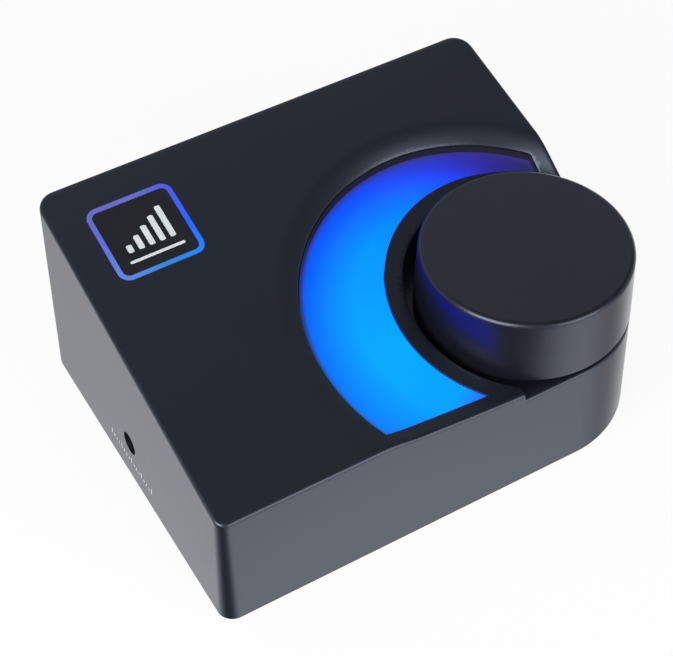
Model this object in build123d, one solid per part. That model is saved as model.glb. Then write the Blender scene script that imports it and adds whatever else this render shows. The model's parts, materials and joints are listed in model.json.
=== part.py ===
from build123d import *
import math
import os

# A desktop controller for studio monitors: a wedge-shaped moulded housing with a large
# push-and-turn knob in its front right corner, a crescent-shaped lit ring round the knob,
# a small lit badge on the sloping top, and the sockets in the left and rear walls.
# Millimetres. +X right along the front, +Y to the back, +Z up.
# The origin is at the middle of the whole part's footprint, on the surface it stands on.

# Driving dimensions: housing
body_width = 110.0
body_depth = 85.85
front_height = 30.6
top_slope = 11.96
wall_draft = 2.0
wall = 2.2
ceiling = 2.6
back_corner_radius = 6.0
left_corner_radius = 3.5
knob_corner_radius = 24.0
top_edge_radius = 0.7
rear_reach = 1.1

# Driving dimensions: feet and base
foot_stand = 1.35
foot_height = 2.6
foot_radius = 6.0
base_gap = 0.45
base_thickness = 2.5
base_clearance = 0.2

# Driving dimensions: dish, well and knob
knob_from_right = 24.0
knob_from_front = 24.25
dish_tilt = 9.65
dish_cone = 6.79
dish_apex_height = 28.22
flare_angle = 45.0
well_radius = 25.5
well_floor_height = 25.8
well_floor_thickness = 2.4
well_side = 14.7
knob_radius = 23.3
knob_taper = 2.4
knob_height = 16.2
knob_gap = 1.25
knob_wall = 2.4
knob_roof = 3.0
knob_edge_radius = 1.2
press_travel = 0.4

# Driving dimensions: crescent lens
lens_outer_radius = 40.3
lens_outer_x = 76.47
lens_outer_y = 21.91
lens_inner_radius = 29.43
lens_front_cut = 4.39
lens_right_cut = 105.2
lens_gap = 0.15
lens_rim = 1.2
dish_roof = 2.4
lens_flange = 1.2
lens_flange_reach = 1.4
ring_board_depth = 8.5

# Driving dimensions: badge
badge_width = 19.6
badge_length = 19.3
badge_corner = 2.6
badge_stroke = 1.05
badge_x = 19.18
badge_y = 66.87
badge_flange = 0.9

# Driving dimensions: encoder
shaft_radius = 3.0
shaft_clearance = 0.05
bush_radius = 3.5
bush_height = 5.9
encoder_side = 14.0
encoder_height = 6.5

# Driving dimensions: circuit boards and sockets
board_thickness = 1.6
main_board_height = 8.2
aux_jack_y = 43.05
aux_jack_height = 12.8
aux_bore_radius = 1.8
aux_hole_radius = 2.65
aux_nose_start = 1.7
output_bore_radius = 3.2
output_jack_height = 17.0
output_jack_places = [62.0, 84.0]
usb_place = 34.0
rear_recess = 1.2

# Places worked out from the dimensions
left = -body_width / 2
front = -(body_depth + rear_reach) / 2
right = left + body_width
back = front + body_depth
knob_x = right - knob_from_right
knob_y = front + knob_from_front
slope_rise = math.tan(math.radians(top_slope))
draft_run = math.tan(math.radians(wall_draft))
well_floor = foot_stand + well_floor_height
floor_underside = well_floor - well_floor_thickness
base_bottom = foot_stand + base_gap
base_top = base_bottom + base_thickness
board_top = main_board_height + board_thickness
rear_panel = back - rear_recess
UP = (Align.CENTER, Align.CENTER, Align.MIN)


def at(x, y, z=0.0):
    """A location given from the housing's front left bottom corner."""
    return Pos(left + x, front + y, z)


def rod(radius, low, high):
    """An upright cylinder between two heights."""
    return Pos(0, 0, low) * Cylinder(radius, high - low, align=UP)


def block(width, depth, low, high):
    """An upright box between two heights."""
    return Pos(0, 0, low) * Box(width, depth, high - low, align=UP)


def top_height(y):
    """Height of the sloping top at a distance from the front wall."""
    return foot_stand + front_height + y * slope_rise


def slope_plane(x, y, drop=0.0):
    """A plane in the sloping top, or below it by drop, with its centre over the point x, y."""
    place = Location((left + x, front + y, top_height(y) - drop), (top_slope, 0, 0))
    return Plane(place)


def below_slope(drop=0.0):
    """Everything below the sloping top, or below it by drop."""
    return extrude(slope_plane(body_width / 2, body_depth / 2, drop) * Rectangle(300, 300), -120)


def housing_outline(inset=0.0):
    """The footprint, with the large corner under the knob, a small one at its left and two behind."""
    outline = Pos(0, front + body_depth / 2) * Rectangle(body_width, body_depth)
    outline = fillet([outline.vertices().sort_by(lambda v: v.X - v.Y)[-1]], knob_corner_radius)
    outline = fillet([outline.vertices().sort_by(lambda v: v.X + v.Y)[0]], left_corner_radius)
    outline = fillet(outline.vertices().group_by(Axis.Y)[-1], back_corner_radius)
    return offset(outline, -inset) if inset else outline


def drafted_block(inset=0.0, low=foot_stand):
    """The footprint raised with the wall draft, taller than the housing."""
    solid = extrude(Plane.XY.offset(foot_stand) * housing_outline(inset), 60, taper=wall_draft)
    return solid - block(300, 300, -50, low)


def above_dish(lift=0.0):
    """Everything above the shallow cone that the dish and the lens lie on."""
    flat = math.tan(math.radians(dish_cone))
    cone_height = 12.0
    radius = cone_height / flat
    cone = Cone(0.05, radius, cone_height, align=UP) + Pos(0, 0, cone_height) * Cylinder(radius, 40, align=UP)
    apex = foot_stand + dish_apex_height + lift
    return Location((knob_x, knob_y, apex), (dish_tilt, 0, 0)) * cone


def mid_dish_plane():
    """The plane through the edge of the lens opening, half way between the dish and the top."""
    corners = []
    for x, y, depth in ((36.2, 21.9, 0.74), (86.0, 61.1, 2.33), (105.2, 50.2, 2.38)):
        corners.append(Vector(left + x, front + y, top_height(y) - depth))
    normal = (corners[1] - corners[0]).cross(corners[2] - corners[0])
    normal = normal if normal.Z > 0 else -normal
    centre_x = left + lens_outer_x
    centre_y = front + lens_outer_y
    run = (corners[0].X - centre_x) * normal.X + (corners[0].Y - centre_y) * normal.Y
    return Plane(origin=(centre_x, centre_y, corners[0].Z + run / normal.Z), z_dir=normal)


def dish_flare(reach=0.0):
    """The opening-out side of the dish, which widens upwards from the lens's outer edge."""
    low = 12.0
    high = 20.0
    spread = math.tan(math.radians(flare_angle))
    small = lens_outer_radius + reach - low * spread
    large = lens_outer_radius + reach + high * spread
    cone = Pos(0, 0, -low) * Cone(small, large, low + high, align=UP)
    return mid_dish_plane().location * cone


def crescent(clearance=0.0, inner_clearance=None):
    """The lens's outline: an outer circle less a circle round the knob, cut straight in front and at the right."""
    inner_clearance = clearance if inner_clearance is None else inner_clearance
    shape = at(lens_outer_x, lens_outer_y) * Circle(lens_outer_radius - clearance)
    shape -= Pos(knob_x, knob_y) * Circle(lens_inner_radius + inner_clearance)
    low_y = lens_front_cut + clearance
    high_x = lens_right_cut - clearance
    window = at(high_x / 2, low_y + body_depth / 2) * Rectangle(high_x, body_depth)
    return shape & window


def upright(sketch, low=10.0, high=60.0):
    """A sketch raised straight up between two heights."""
    return extrude(Plane.XY.offset(low) * sketch, high - low)


def screw_places():
    """Where the base screws and their bosses stand, clear of the knob's well."""
    return [(6.8, 6.8), (6.5, 79.2), (103.2, 79.0), (97.0, 13.5)]


def well_space():
    """The round well, squared off where it breaks through the front and right walls."""
    space = Pos(knob_x, knob_y) * rod(well_radius, well_floor, 80)
    space += Pos(knob_x - well_side / 2, knob_y - 15) * block(well_side, 30, well_floor, 80)
    space += Pos(knob_x + 15, knob_y + well_side / 2) * block(30, well_side, well_floor, 80)
    return space


def make_housing():
    """The upper shell: wedge, dish, knob well, walls, bosses and the holes for lights and sockets."""
    outer = drafted_block() & below_slope()
    top_edges = outer.faces().sort_by(Axis.Z)[-1].edges()
    outer = fillet(top_edges, top_edge_radius)
    outer -= above_dish() & dish_flare()
    outer -= well_space()

    cavity = drafted_block(wall, foot_stand - 1) & below_slope(ceiling)
    roof_reach = Pos(left + lens_outer_x, front + lens_outer_y) * rod(lens_outer_radius + 6.5, 5, 80)
    cavity -= above_dish(-dish_roof) & roof_reach
    cavity -= Pos(knob_x, knob_y) * rod(well_radius + wall, floor_underside, 80)
    for x, y in screw_places():
        cavity -= at(x, y) * rod(3.5, base_top, 80)
    shell = outer - cavity

    for x, y in screw_places():
        shell -= at(x, y) * rod(1.5, 0, base_top + 9)
    shell -= upright(crescent())
    shell -= Pos(knob_x, knob_y) * rod(bush_radius + 0.2, 0, 60)
    badge_hole = RectangleRounded(badge_width + 0.2, badge_length + 0.2, badge_corner)
    shell -= extrude(slope_plane(badge_x, badge_y).offset(2) * badge_hole, -10)
    return shell - socket_cutters()


def socket_cutters():
    """The flat recess in the rear wall and the holes for every socket."""
    recess_low = 7.0
    recess_high = 27.0
    recess = at(59, body_depth, 0) * Pos(0, 5 - rear_recess) * block(72, 10, recess_low, recess_high)
    cutters = fillet(recess.edges().filter_by(Axis.Y), 1.0)
    for x in output_jack_places:
        cutters += at(x, body_depth, output_jack_height) * Rot(90, 0, 0) * Cylinder(4.6, 12)
    slot = extrude(Plane.XZ * SlotOverall(9.8, 4.0), 6, both=True)
    cutters += at(usb_place, body_depth, board_top + 1.6) * slot
    cutters += at(0, aux_jack_y, aux_jack_height) * Rot(0, 90, 0) * Cylinder(aux_hole_radius, 8)
    return cutters


def foot_places():
    """Where the four feet stand, by name."""
    return {
        "foot_front_left": (20.0, 13.0),
        "foot_front_right": (80.0, 13.0),
        "foot_back_left": (20.0, 72.0),
        "foot_back_right": (88.0, 72.0),
    }


def board_screw_places():
    """Where the main board is held to the base."""
    return [(24.0, 22.0), (72.0, 22.0), (20.0, 62.0), (98.0, 56.0)]


def make_base_plate():
    """The flat cover underneath, let into the walls, with foot pockets, screw holes and board posts."""
    plate = extrude(Plane.XY.offset(base_bottom) * housing_outline(wall + base_clearance), base_thickness)
    for x, y in board_screw_places():
        post = at(x, y) * rod(3.2, base_bottom, main_board_height)
        plate = plate + post - at(x, y) * rod(1.15, base_bottom + 1, 12)
    for x, y in foot_places().values():
        plate -= at(x, y) * rod(foot_radius + 0.1, 0, foot_height)
    for x, y in screw_places():
        plate -= at(x, y) * rod(1.7, 0, 10)
        plate -= at(x, y) * rod(3.1, 0, base_bottom + 1.3)
    return plate


def make_foot(x, y):
    """A glued rubber foot with a rounded lower edge."""
    foot = at(x, y) * rod(foot_radius, 0, foot_height)
    return fillet(foot.edges().group_by(Axis.Z)[0], 0.6)


def screw(radius, head_radius, head_height, length, head_low, driver=0.9):
    """A pan-head screw that points up, with a cross-shaped recess in its head."""
    body = rod(head_radius, head_low, head_low + head_height)
    body += rod(radius, head_low + head_height, head_low + head_height + length)
    for turn in (0, 90):
        body -= Rot(0, 0, turn) * block(head_radius * 1.2, 0.7, head_low, head_low + driver)
    return body


def make_base_screws():
    """Four self-tapping screws that hold the base plate to the housing's bosses."""
    head_low = base_bottom + 0.1
    return [at(x, y) * screw(1.45, 2.9, 1.2, 9.5, head_low) for x, y in screw_places()]


def make_board_screws():
    """Four small screws that hold the main board down on its posts."""
    turned = Pos(0, 0, board_top + 1.2) * Rot(180, 0, 0)
    return [at(x, y) * turned * screw(1.1, 2.2, 1.2, 6.0, 0) for x, y in board_screw_places()]


def make_main_board():
    """The main circuit board, notched at the corners for the housing's bosses."""
    board = at(55, 45) * block(99, 74, main_board_height, board_top)
    for x, y in screw_places():
        board -= at(x, y) * block(14, 14, 0, 20)
    knob_side = at(105, 8) * Rot(0, 0, 45) * block(30, 30, 0, 20)
    board -= knob_side
    for x, y in board_screw_places():
        board -= at(x, y) * rod(1.2, 0, 20)
    return board


def make_board_chips():
    """The flat chips on the main board."""
    places = [(48, 30, 9, 9, 1.2), (34, 44, 7, 7, 1.2), (60, 46, 6, 5, 1.6), (84, 40, 5, 6, 1.6)]
    return [at(x, y) * block(w, d, board_top, board_top + h) for x, y, w, d, h in places]


def make_board_capacitors():
    """Upright electrolytic capacitors on the main board, between the chips and the rear sockets."""
    places = [(45, 56, 2.5, 7), (45, 63, 2.5, 7), (45, 71, 3.15, 9), (24, 40, 2.5, 7), (24, 48, 2.5, 7)]
    cans = []
    for x, y, radius, height in places:
        can = at(x, y) * rod(radius, board_top, board_top + height)
        groove = at(x, y) * (rod(radius + 1, board_top + 1.2, board_top + 1.7) - rod(radius - 0.2, 0, 30))
        cans.append(can - groove)
    return cans


def ribbon_places():
    """Where each flat cable meets the main board: place and the width of its plug."""
    return {"encoder": (86.0, 34.0), "ring": (52.0, 38.5), "badge": (19.35, 56.0)}


def make_board_connectors():
    """The plugs on the main board that take the flat cables."""
    return [at(x, y) * block(9, 3, board_top, board_top + 3) for x, y in ribbon_places().values()]


def make_ribbon(name, top):
    """A flat cable that runs straight up from its plug to the board above."""
    x, y = ribbon_places()[name]
    return at(x, y) * block(7, 0.4, board_top + 3, top)


def make_output_jack(x):
    """A quarter-inch socket: moulded body on the board, and a threaded nose through the rear wall."""
    nose_radius = 4.4
    body_front = 82.65
    body_length = 24.0
    body = at(x, body_front - body_length / 2) * block(15.6, body_length, board_top, board_top + 14.2)
    nose_end = rear_panel + 2.3
    nose_length = nose_end - (front + body_front)
    nose = Pos(left + x, nose_end - nose_length / 2, output_jack_height) * Rot(90, 0, 0)
    jack = body + nose * Cylinder(nose_radius, nose_length)
    bore_length = 22.0
    bore = Pos(left + x, nose_end - bore_length / 2, output_jack_height) * Rot(90, 0, 0)
    return jack - bore * Cylinder(output_bore_radius, bore_length)


def ring_on_nose(x, outer, start, thickness, sides=0):
    """A washer, or a nut with flat sides, round a socket's nose."""
    origin = (left + x, rear_panel + start + thickness, output_jack_height)
    plane = Plane(origin=origin, x_dir=(1, 0, 0), z_dir=(0, 1, 0))
    shape = RegularPolygon(outer, sides, major_radius=False) if sides else Circle(outer)
    shape -= Circle(4.5)
    return extrude(plane * shape, -thickness)


def make_output_washers():
    """Two washers between the rear wall and the nuts."""
    return [ring_on_nose(x, 6.6, 0, 0.5) for x in output_jack_places]


def make_output_nuts():
    """Two hexagonal nuts that hold the output sockets to the rear wall."""
    nuts = []
    for x in output_jack_places:
        nut = ring_on_nose(x, 6.0, 0.5, 1.8, sides=6)
        outer_face = nut.faces().sort_by(Axis.Y)[-1]
        nuts.append(chamfer(outer_face.outer_wire().edges(), 0.3))
    return nuts


def make_aux_jack():
    """The 3.5 mm socket behind the hole in the left wall."""
    body_start = 3.0
    body_length = 12.0
    body = at(body_start + body_length / 2, aux_jack_y)
    jack = body * block(body_length, 6.4, board_top, board_top + 6.0)
    nose_length = body_start - aux_nose_start + 1
    nose = at(aux_nose_start + nose_length / 2, aux_jack_y, aux_jack_height) * Rot(0, 90, 0)
    jack += nose * Cylinder(2.5, nose_length)
    bore_length = 12.0
    bore = at(aux_nose_start + bore_length / 2, aux_jack_y, aux_jack_height) * Rot(0, 90, 0)
    return jack - bore * Cylinder(aux_bore_radius, bore_length)


def make_usb_socket():
    """The power inlet: a folded metal shell with its tongue, on the board's rear edge."""
    length = 8.4
    mouth = rear_panel - 0.2
    plane = Plane(origin=(left + usb_place, mouth, board_top + 1.6), x_dir=(1, 0, 0), z_dir=(0, 1, 0))
    shell = extrude(plane * SlotOverall(8.94, 3.2), -length)
    shell -= extrude(plane * SlotOverall(8.34, 2.6), -(length - 1))
    tongue = extrude(plane.offset(-1.2) * Rectangle(6.6, 0.7), -(length - 1.2))
    return shell + tongue


def make_ring_lens():
    """The diffuser: a crescent plate on the dish's cone, with a rim up the outer edge and a flange below."""
    plate = upright(crescent(lens_gap)) - above_dish()
    inside = at(lens_outer_x, lens_outer_y) * Circle(lens_outer_radius - lens_rim)
    rim_band = upright(crescent(lens_gap) - inside)
    under_mid = extrude(mid_dish_plane() * Rectangle(200, 200), -60)
    lens = plate + (rim_band & under_mid)
    lens &= above_dish(-dish_roof - 0.15)
    flange_plan = crescent(-lens_flange_reach, -lens_flange_reach)
    keep = at(52.0, 46.0) * Rectangle(104.0 + lens_right_cut - 106.6, 84.0)
    flange = upright(flange_plan & keep) & above_dish(-dish_roof - 0.15 - lens_flange)
    flange -= above_dish(-dish_roof - 0.15)
    flange &= below_slope(ceiling + 0.15)
    inner_wall = drafted_block(wall + 0.2, foot_stand - 1)
    return lens + (flange & inner_wall)


def ring_board_outline(inset=0.0):
    """The lit area under the lens, in from the lens's own outline."""
    shape = crescent(1.6 + inset, 0.3 + inset)
    return shape & at(51.0, 46.0) * Rectangle(102.0 - 2 * inset, 80.0 - 2 * inset)


def dish_place(lift):
    """A place over the knob's axis, tilted with the dish and raised from its apex by lift."""
    return Location((knob_x, knob_y, foot_stand + dish_apex_height + lift), (dish_tilt, 0, 0))


def make_ring_board():
    """The crescent-shaped board that carries the ring's lights, tilted with the dish."""
    slab = dish_place(-ring_board_depth) * Box(200, 200, board_thickness, align=(*UP[:2], Align.MAX))
    return upright(ring_board_outline()) & slab


def make_ring_reflector():
    """The white light box between the ring's board and the lens."""
    walls = upright(ring_board_outline() - ring_board_outline(1.2))
    walls &= dish_place(-ring_board_depth) * Box(200, 200, 60, align=UP)
    return walls - above_dish(-dish_roof - 0.15 - lens_flange - 0.1)


def make_ring_leds():
    """A row of lights along the middle of the crescent."""
    lights = []
    to_outer = Vector(left + lens_outer_x - knob_x, front + lens_outer_y - knob_y)
    for angle in range(97, 202, 8):
        direction = Vector(math.cos(math.radians(angle)), math.sin(math.radians(angle)))
        along = to_outer.dot(direction)
        reach = along + math.sqrt(along ** 2 - to_outer.length ** 2 + lens_outer_radius ** 2)
        spot = direction * ((lens_inner_radius + reach) / 2)
        light = Rot(0, 0, angle) * Box(2.0, 2.0, 0.9, align=UP)
        lights.append(dish_place(-ring_board_depth) * Pos(spot.X, spot.Y) * light)
    return lights


def make_badge_guide():
    """The light guide of the badge: a lit frame, a floor under the badge plate, a flange and four legs."""
    outer = RectangleRounded(badge_width, badge_length, badge_corner)
    pocket = RectangleRounded(badge_width - 2 * badge_stroke, badge_length - 2 * badge_stroke, badge_corner - badge_stroke)
    top = slope_plane(badge_x, badge_y, 0.05)
    guide = extrude(top * outer, -3.8)
    reach = 2 * badge_flange
    flange = RectangleRounded(badge_width + reach, badge_length + reach, badge_corner + badge_flange)
    guide += extrude(top.offset(-2.7) * flange, -1.1)
    guide -= extrude(top.offset(0.1) * pocket, -1.5)
    for x, y in ((-8, -8), (8, -8), (-8, 8), (8, 8)):
        guide += extrude(top.offset(-3.8) * Pos(x, y) * Rectangle(2, 2), -3.2)
    return guide


def make_badge_plate():
    """The dark plate inside the lit frame."""
    width = badge_width - 2 * badge_stroke - 0.1
    length = badge_length - 2 * badge_stroke - 0.1
    plate = RectangleRounded(width, length, badge_corner - badge_stroke - 0.05)
    return extrude(slope_plane(badge_x, badge_y, 0.15) * plate, -1.25)


def make_badge_board():
    """The small board under the badge, on the light guide's legs."""
    return extrude(slope_plane(badge_x, badge_y, 0.05).offset(-7.0) * Rectangle(18.4, 18.2), -1.2)


def make_badge_leds():
    """Four lights under the badge's light guide."""
    top = slope_plane(badge_x, badge_y, 0.05).offset(-7.0)
    return [extrude(top * Pos(x, y) * Rectangle(2.8, 2.2), 1.2) for x, y in ((-4.5, 0), (4.5, 0), (0, -5), (0, 5))]


def make_encoder_body():
    """The encoder's case and threaded bush, hollow for the rotor and the push switch."""
    body = block(encoder_side, encoder_side, floor_underside - encoder_height, floor_underside)
    body += rod(bush_radius, floor_underside, floor_underside + bush_height)
    body -= rod(6.2, floor_underside - encoder_height + 0.4, floor_underside - 1.2)
    body -= rod(shaft_radius + shaft_clearance, floor_underside - 3, 60)
    return Pos(knob_x, knob_y) * body


def make_encoder_board():
    """The small board that the encoder is soldered to."""
    low = floor_underside - encoder_height - board_thickness
    return Pos(knob_x, knob_y + 3.8) * block(18, 22, low, low + board_thickness)


def make_encoder_washer():
    """The washer on the floor of the well."""
    ring = rod(6.0, well_floor, well_floor + 0.5) - rod(bush_radius + 0.1, 0, 60)
    return Pos(knob_x, knob_y) * ring


def make_encoder_nut():
    """The nut that holds the encoder to the floor of the well."""
    low = well_floor + 0.5
    sides = extrude(Plane.XY.offset(low) * RegularPolygon(5.0, 6, major_radius=False), 2.0)
    return Pos(knob_x, knob_y) * (sides - rod(bush_radius + 0.1, 0, 60))


shaft_low = floor_underside - encoder_height + 1.9
shaft_high = 41.2


def make_encoder_shaft():
    """The round shaft, flattened on one side where the knob's hub grips it."""
    shaft = rod(shaft_radius, shaft_low, shaft_high)
    flat = Pos(shaft_radius + 1.5, 0) * block(6, 10, 33.0, 50)
    shaft -= flat
    return Pos(knob_x, knob_y) * chamfer(shaft.edges().group_by(Axis.Z)[-1], 0.4)


def make_encoder_rotor():
    """The contact disc on the shaft, inside the encoder."""
    disc = rod(5.6, shaft_low + 0.8, shaft_low + 2.0) - rod(shaft_radius, 0, 60)
    for step in range(12):
        disc -= Rot(0, 0, step * 30) * Pos(4.7, 0) * block(0.9, 0.7, 0, 60)
    return Pos(knob_x, knob_y) * disc


def make_press_plate():
    """The plate under the shaft, which moves down with it to work the push switch."""
    return Pos(knob_x, knob_y) * rod(2.6, shaft_low - 0.6, shaft_low)


def make_switch_dome():
    """The sprung dome of the push switch, under the press plate."""
    low = floor_underside - encoder_height + 0.4
    high = shaft_low - 0.6
    cup = Pos(knob_x, knob_y) * (Pos(0, 0, low) * Cone(3.4, 1.6, high - low, align=UP))
    hollow = Pos(knob_x, knob_y) * (Pos(0, 0, low - 0.15) * Cone(3.2, 1.4, high - low, align=UP))
    return cup - hollow


def make_knob_shell():
    """The knob: a deep cap with a slightly tapered side, ribs inside and a boss for the hub."""
    low = well_floor + knob_gap
    high = low + knob_height
    top_radius = knob_radius - knob_height * math.tan(math.radians(knob_taper))
    cap = Pos(0, 0, low) * Cone(knob_radius, top_radius, knob_height, align=UP)
    cap = fillet(cap.edges().group_by(Axis.Z)[-1], knob_edge_radius)
    cap = chamfer(cap.edges().group_by(Axis.Z)[0], 0.2)
    inner_radius = top_radius - knob_wall
    cap -= rod(inner_radius, low - 1, high - knob_roof)
    boss_low = 32.6
    cap += rod(7.2, boss_low, high - knob_roof)
    for step in range(6):
        rib = Pos(13.5, 0) * block(14.0, 1.4, 37.0, high - knob_roof)
        cap += Rot(0, 0, step * 60 + 30) * rib
    cap -= rod(5.0, low - 1, shaft_high + 0.4)
    return Pos(knob_x, knob_y) * cap


def make_knob_hub():
    """The metal hub moulded into the knob, with a bore that fits the shaft's flat."""
    hub = rod(5.0, 32.6, shaft_high + 0.4) - rod(shaft_radius, 0, shaft_high)
    key = Pos(shaft_radius + 1.5, 0) * block(6, 10, 33.0, shaft_high)
    hub += key & rod(shaft_radius + 0.2, 33.0, shaft_high)
    return Pos(knob_x, knob_y) * hub


def all_parts():
    """Every node of the assembly by name."""
    ring_x, ring_y = ribbon_places()["ring"]
    ring_low = foot_stand + dish_apex_height - ring_board_depth - board_thickness - 0.3
    ring_low += (ring_y - knob_from_front) * math.tan(math.radians(dish_tilt))
    encoder_low = floor_underside - encoder_height - board_thickness
    parts = {
        "housing": make_housing(),
        "base_plate": make_base_plate(),
        "base_screws": make_base_screws(),
        "board_screws": make_board_screws(),
        "main_board": make_main_board(),
        "board_chips": make_board_chips(),
        "board_capacitors": make_board_capacitors(),
        "board_connectors": make_board_connectors(),
        "output_jack_left": make_output_jack(output_jack_places[0]),
        "output_jack_right": make_output_jack(output_jack_places[1]),
        "output_jack_washers": make_output_washers(),
        "output_jack_nuts": make_output_nuts(),
        "aux_jack": make_aux_jack(),
        "usb_socket": make_usb_socket(),
        "ring_lens": make_ring_lens(),
        "ring_reflector": make_ring_reflector(),
        "ring_light_board": make_ring_board(),
        "ring_leds": make_ring_leds(),
        "ring_ribbon": make_ribbon("ring", ring_low),
        "badge_light_guide": make_badge_guide(),
        "badge_plate": make_badge_plate(),
        "badge_light_board": make_badge_board(),
        "badge_leds": make_badge_leds(),
        "badge_ribbon": make_ribbon("badge", 34.6),
        "encoder_body": make_encoder_body(),
        "encoder_board": make_encoder_board(),
        "encoder_washer": make_encoder_washer(),
        "encoder_nut": make_encoder_nut(),
        "encoder_ribbon": make_ribbon("encoder", encoder_low),
        "switch_dome": make_switch_dome(),
        "press_plate": make_press_plate(),
        "encoder_shaft": make_encoder_shaft(),
        "encoder_rotor": make_encoder_rotor(),
        "knob_shell": make_knob_shell(),
        "knob_hub": make_knob_hub(),
    }
    for name, (x, y) in foot_places().items():
        parts[name] = make_foot(x, y)
    return parts


def save(name, shape):
    """Writes one node, a single solid or a group of separate ones."""
    solids = []
    for piece in shape if isinstance(shape, list) else [shape]:
        solids.extend(piece.solids())
    body = solids[0] if len(solids) == 1 else Compound(children=solids)
    body.label = name
    export_step(body, os.path.join("parts", name + ".step"))


os.makedirs("parts", exist_ok=True)
for part_name, part_shape in all_parts().items():
    save(part_name, part_shape)
    print(part_name)
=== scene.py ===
import json
import math

import bmesh
import bpy
from mathutils import Euler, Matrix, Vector
from mathutils.geometry import delaunay_2d_cdt


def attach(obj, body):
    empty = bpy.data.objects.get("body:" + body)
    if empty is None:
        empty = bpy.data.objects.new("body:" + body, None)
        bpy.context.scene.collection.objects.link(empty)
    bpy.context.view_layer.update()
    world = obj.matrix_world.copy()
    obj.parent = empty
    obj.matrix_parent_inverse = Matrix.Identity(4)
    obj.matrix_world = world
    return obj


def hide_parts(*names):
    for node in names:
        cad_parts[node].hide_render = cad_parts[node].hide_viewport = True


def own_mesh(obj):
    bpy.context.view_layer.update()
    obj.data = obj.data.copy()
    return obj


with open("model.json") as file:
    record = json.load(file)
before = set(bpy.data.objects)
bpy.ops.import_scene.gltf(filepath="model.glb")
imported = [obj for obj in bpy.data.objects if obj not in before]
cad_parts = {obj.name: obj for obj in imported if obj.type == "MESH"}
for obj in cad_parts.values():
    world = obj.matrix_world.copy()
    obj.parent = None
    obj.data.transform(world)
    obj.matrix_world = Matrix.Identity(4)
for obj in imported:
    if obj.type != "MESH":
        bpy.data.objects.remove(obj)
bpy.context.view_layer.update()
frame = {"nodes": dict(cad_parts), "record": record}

# Lengths in the dictionaries are millimetres unless a note says otherwise.
mm = 0.001

# ---- camera and room

cameraLook = {
    "place": (-127.02, -219.185, 304.51),
    "turn": (41.505, 0.636, -30.091),     # degrees
    "lens": 93.31, "sensor": 36.0, "nearest": 10.0,
    "shift": (-0.0005, -0.0025),          # parts of the frame's width
}

cameraData = bpy.data.cameras.new("camera")
cameraData.lens = cameraLook["lens"]
cameraData.sensor_width = cameraLook["sensor"]
cameraData.shift_x, cameraData.shift_y = cameraLook["shift"]
cameraData.clip_start = cameraLook["nearest"] * mm
camera = bpy.data.objects.new("camera", cameraData)
camera.location = Vector(cameraLook["place"]) * mm
camera.rotation_euler = Euler([math.radians(a) for a in cameraLook["turn"]])
bpy.context.scene.collection.objects.link(camera)
bpy.context.scene.camera = camera
bpy.context.scene.view_settings.view_transform = "Standard"


def linear(hexColour):
    # sRGB hex to the linear colour that shaders take
    parts = [int(hexColour[i:i + 2], 16) / 255 for i in (1, 3, 5)]
    return tuple(c / 12.92 if c <= 0.04045 else ((c + 0.055) / 1.055) ** 2.4 for c in parts) + (1.0,)


def addNode(tree, kind, settings=None, links=None):
    # one node with its settings, and links given as {input: output socket}
    node = tree.nodes.new("ShaderNode" + kind)
    for name, value in (settings or {}).items():
        if isinstance(name, int) or name in node.inputs:
            node.inputs[name].default_value = value
        else:
            setattr(node, name, value)
    for name, source in (links or {}).items():
        tree.links.new(source, node.inputs[name])
    return node


def inMetres(point):
    # a point of the part's plan, in the metres that shaders measure in
    return [v * mm for v in point] + [0]


def newMaterial(name):
    material = bpy.data.materials.new(name)
    material.use_nodes = True
    tree = material.node_tree
    tree.nodes.clear()
    return material, tree, addNode(tree, "OutputMaterial")


def fillRamp(ramp, stops):
    # stops are (place, hex) pairs, or (place, grey) pairs
    elements = ramp.color_ramp.elements
    while len(elements) < len(stops):
        elements.new(0.5)
    for element, (place, colour) in zip(elements, stops):
        element.position = place
        element.color = linear(colour) if isinstance(colour, str) else (colour, colour, colour, 1.0)


# ---- finishes

def mouldedFinish(name, look):
    # a moulded or plated finish: fine grain in the surface, and slight patches in colour and gloss
    material, tree, output = newMaterial(name)
    place = addNode(tree, "TexCoord").outputs["Object"]
    grain = addNode(tree, "TexNoise", {"Scale": 1 / (look["grain"] * mm), "Detail": 3.0}, {"Vector": place})
    patches = addNode(tree, "TexNoise", {"Scale": 1 / (look["patch"] * mm), "Detail": 2.0}, {"Vector": place})
    colour = addNode(tree, "ValToRGB", links={"Fac": patches.outputs["Fac"]})
    fillRamp(colour, [(0.3, look["colour"][0]), (0.7, look["colour"][1])])
    gloss = addNode(tree, "MapRange", {"To Min": look["roughness"][0], "To Max": look["roughness"][1]},
                    {"Value": patches.outputs["Fac"]})
    bump = addNode(tree, "Bump", {"Strength": look["bump"], "Distance": look["depth"] * mm},
                   {"Height": grain.outputs["Fac"]})
    shader = addNode(tree, "BsdfPrincipled", {"Metallic": look.get("metallic", 0.0), "IOR": look.get("ior", 1.5),
                                              "Specular Tint": linear(look.get("tint", "#ffffff"))},
                     {"Base Color": colour.outputs["Color"], "Roughness": gloss.outputs["Result"],
                      "Normal": bump.outputs["Normal"]})
    tree.links.new(shader.outputs["BSDF"], output.inputs["Surface"])
    return material


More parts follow.
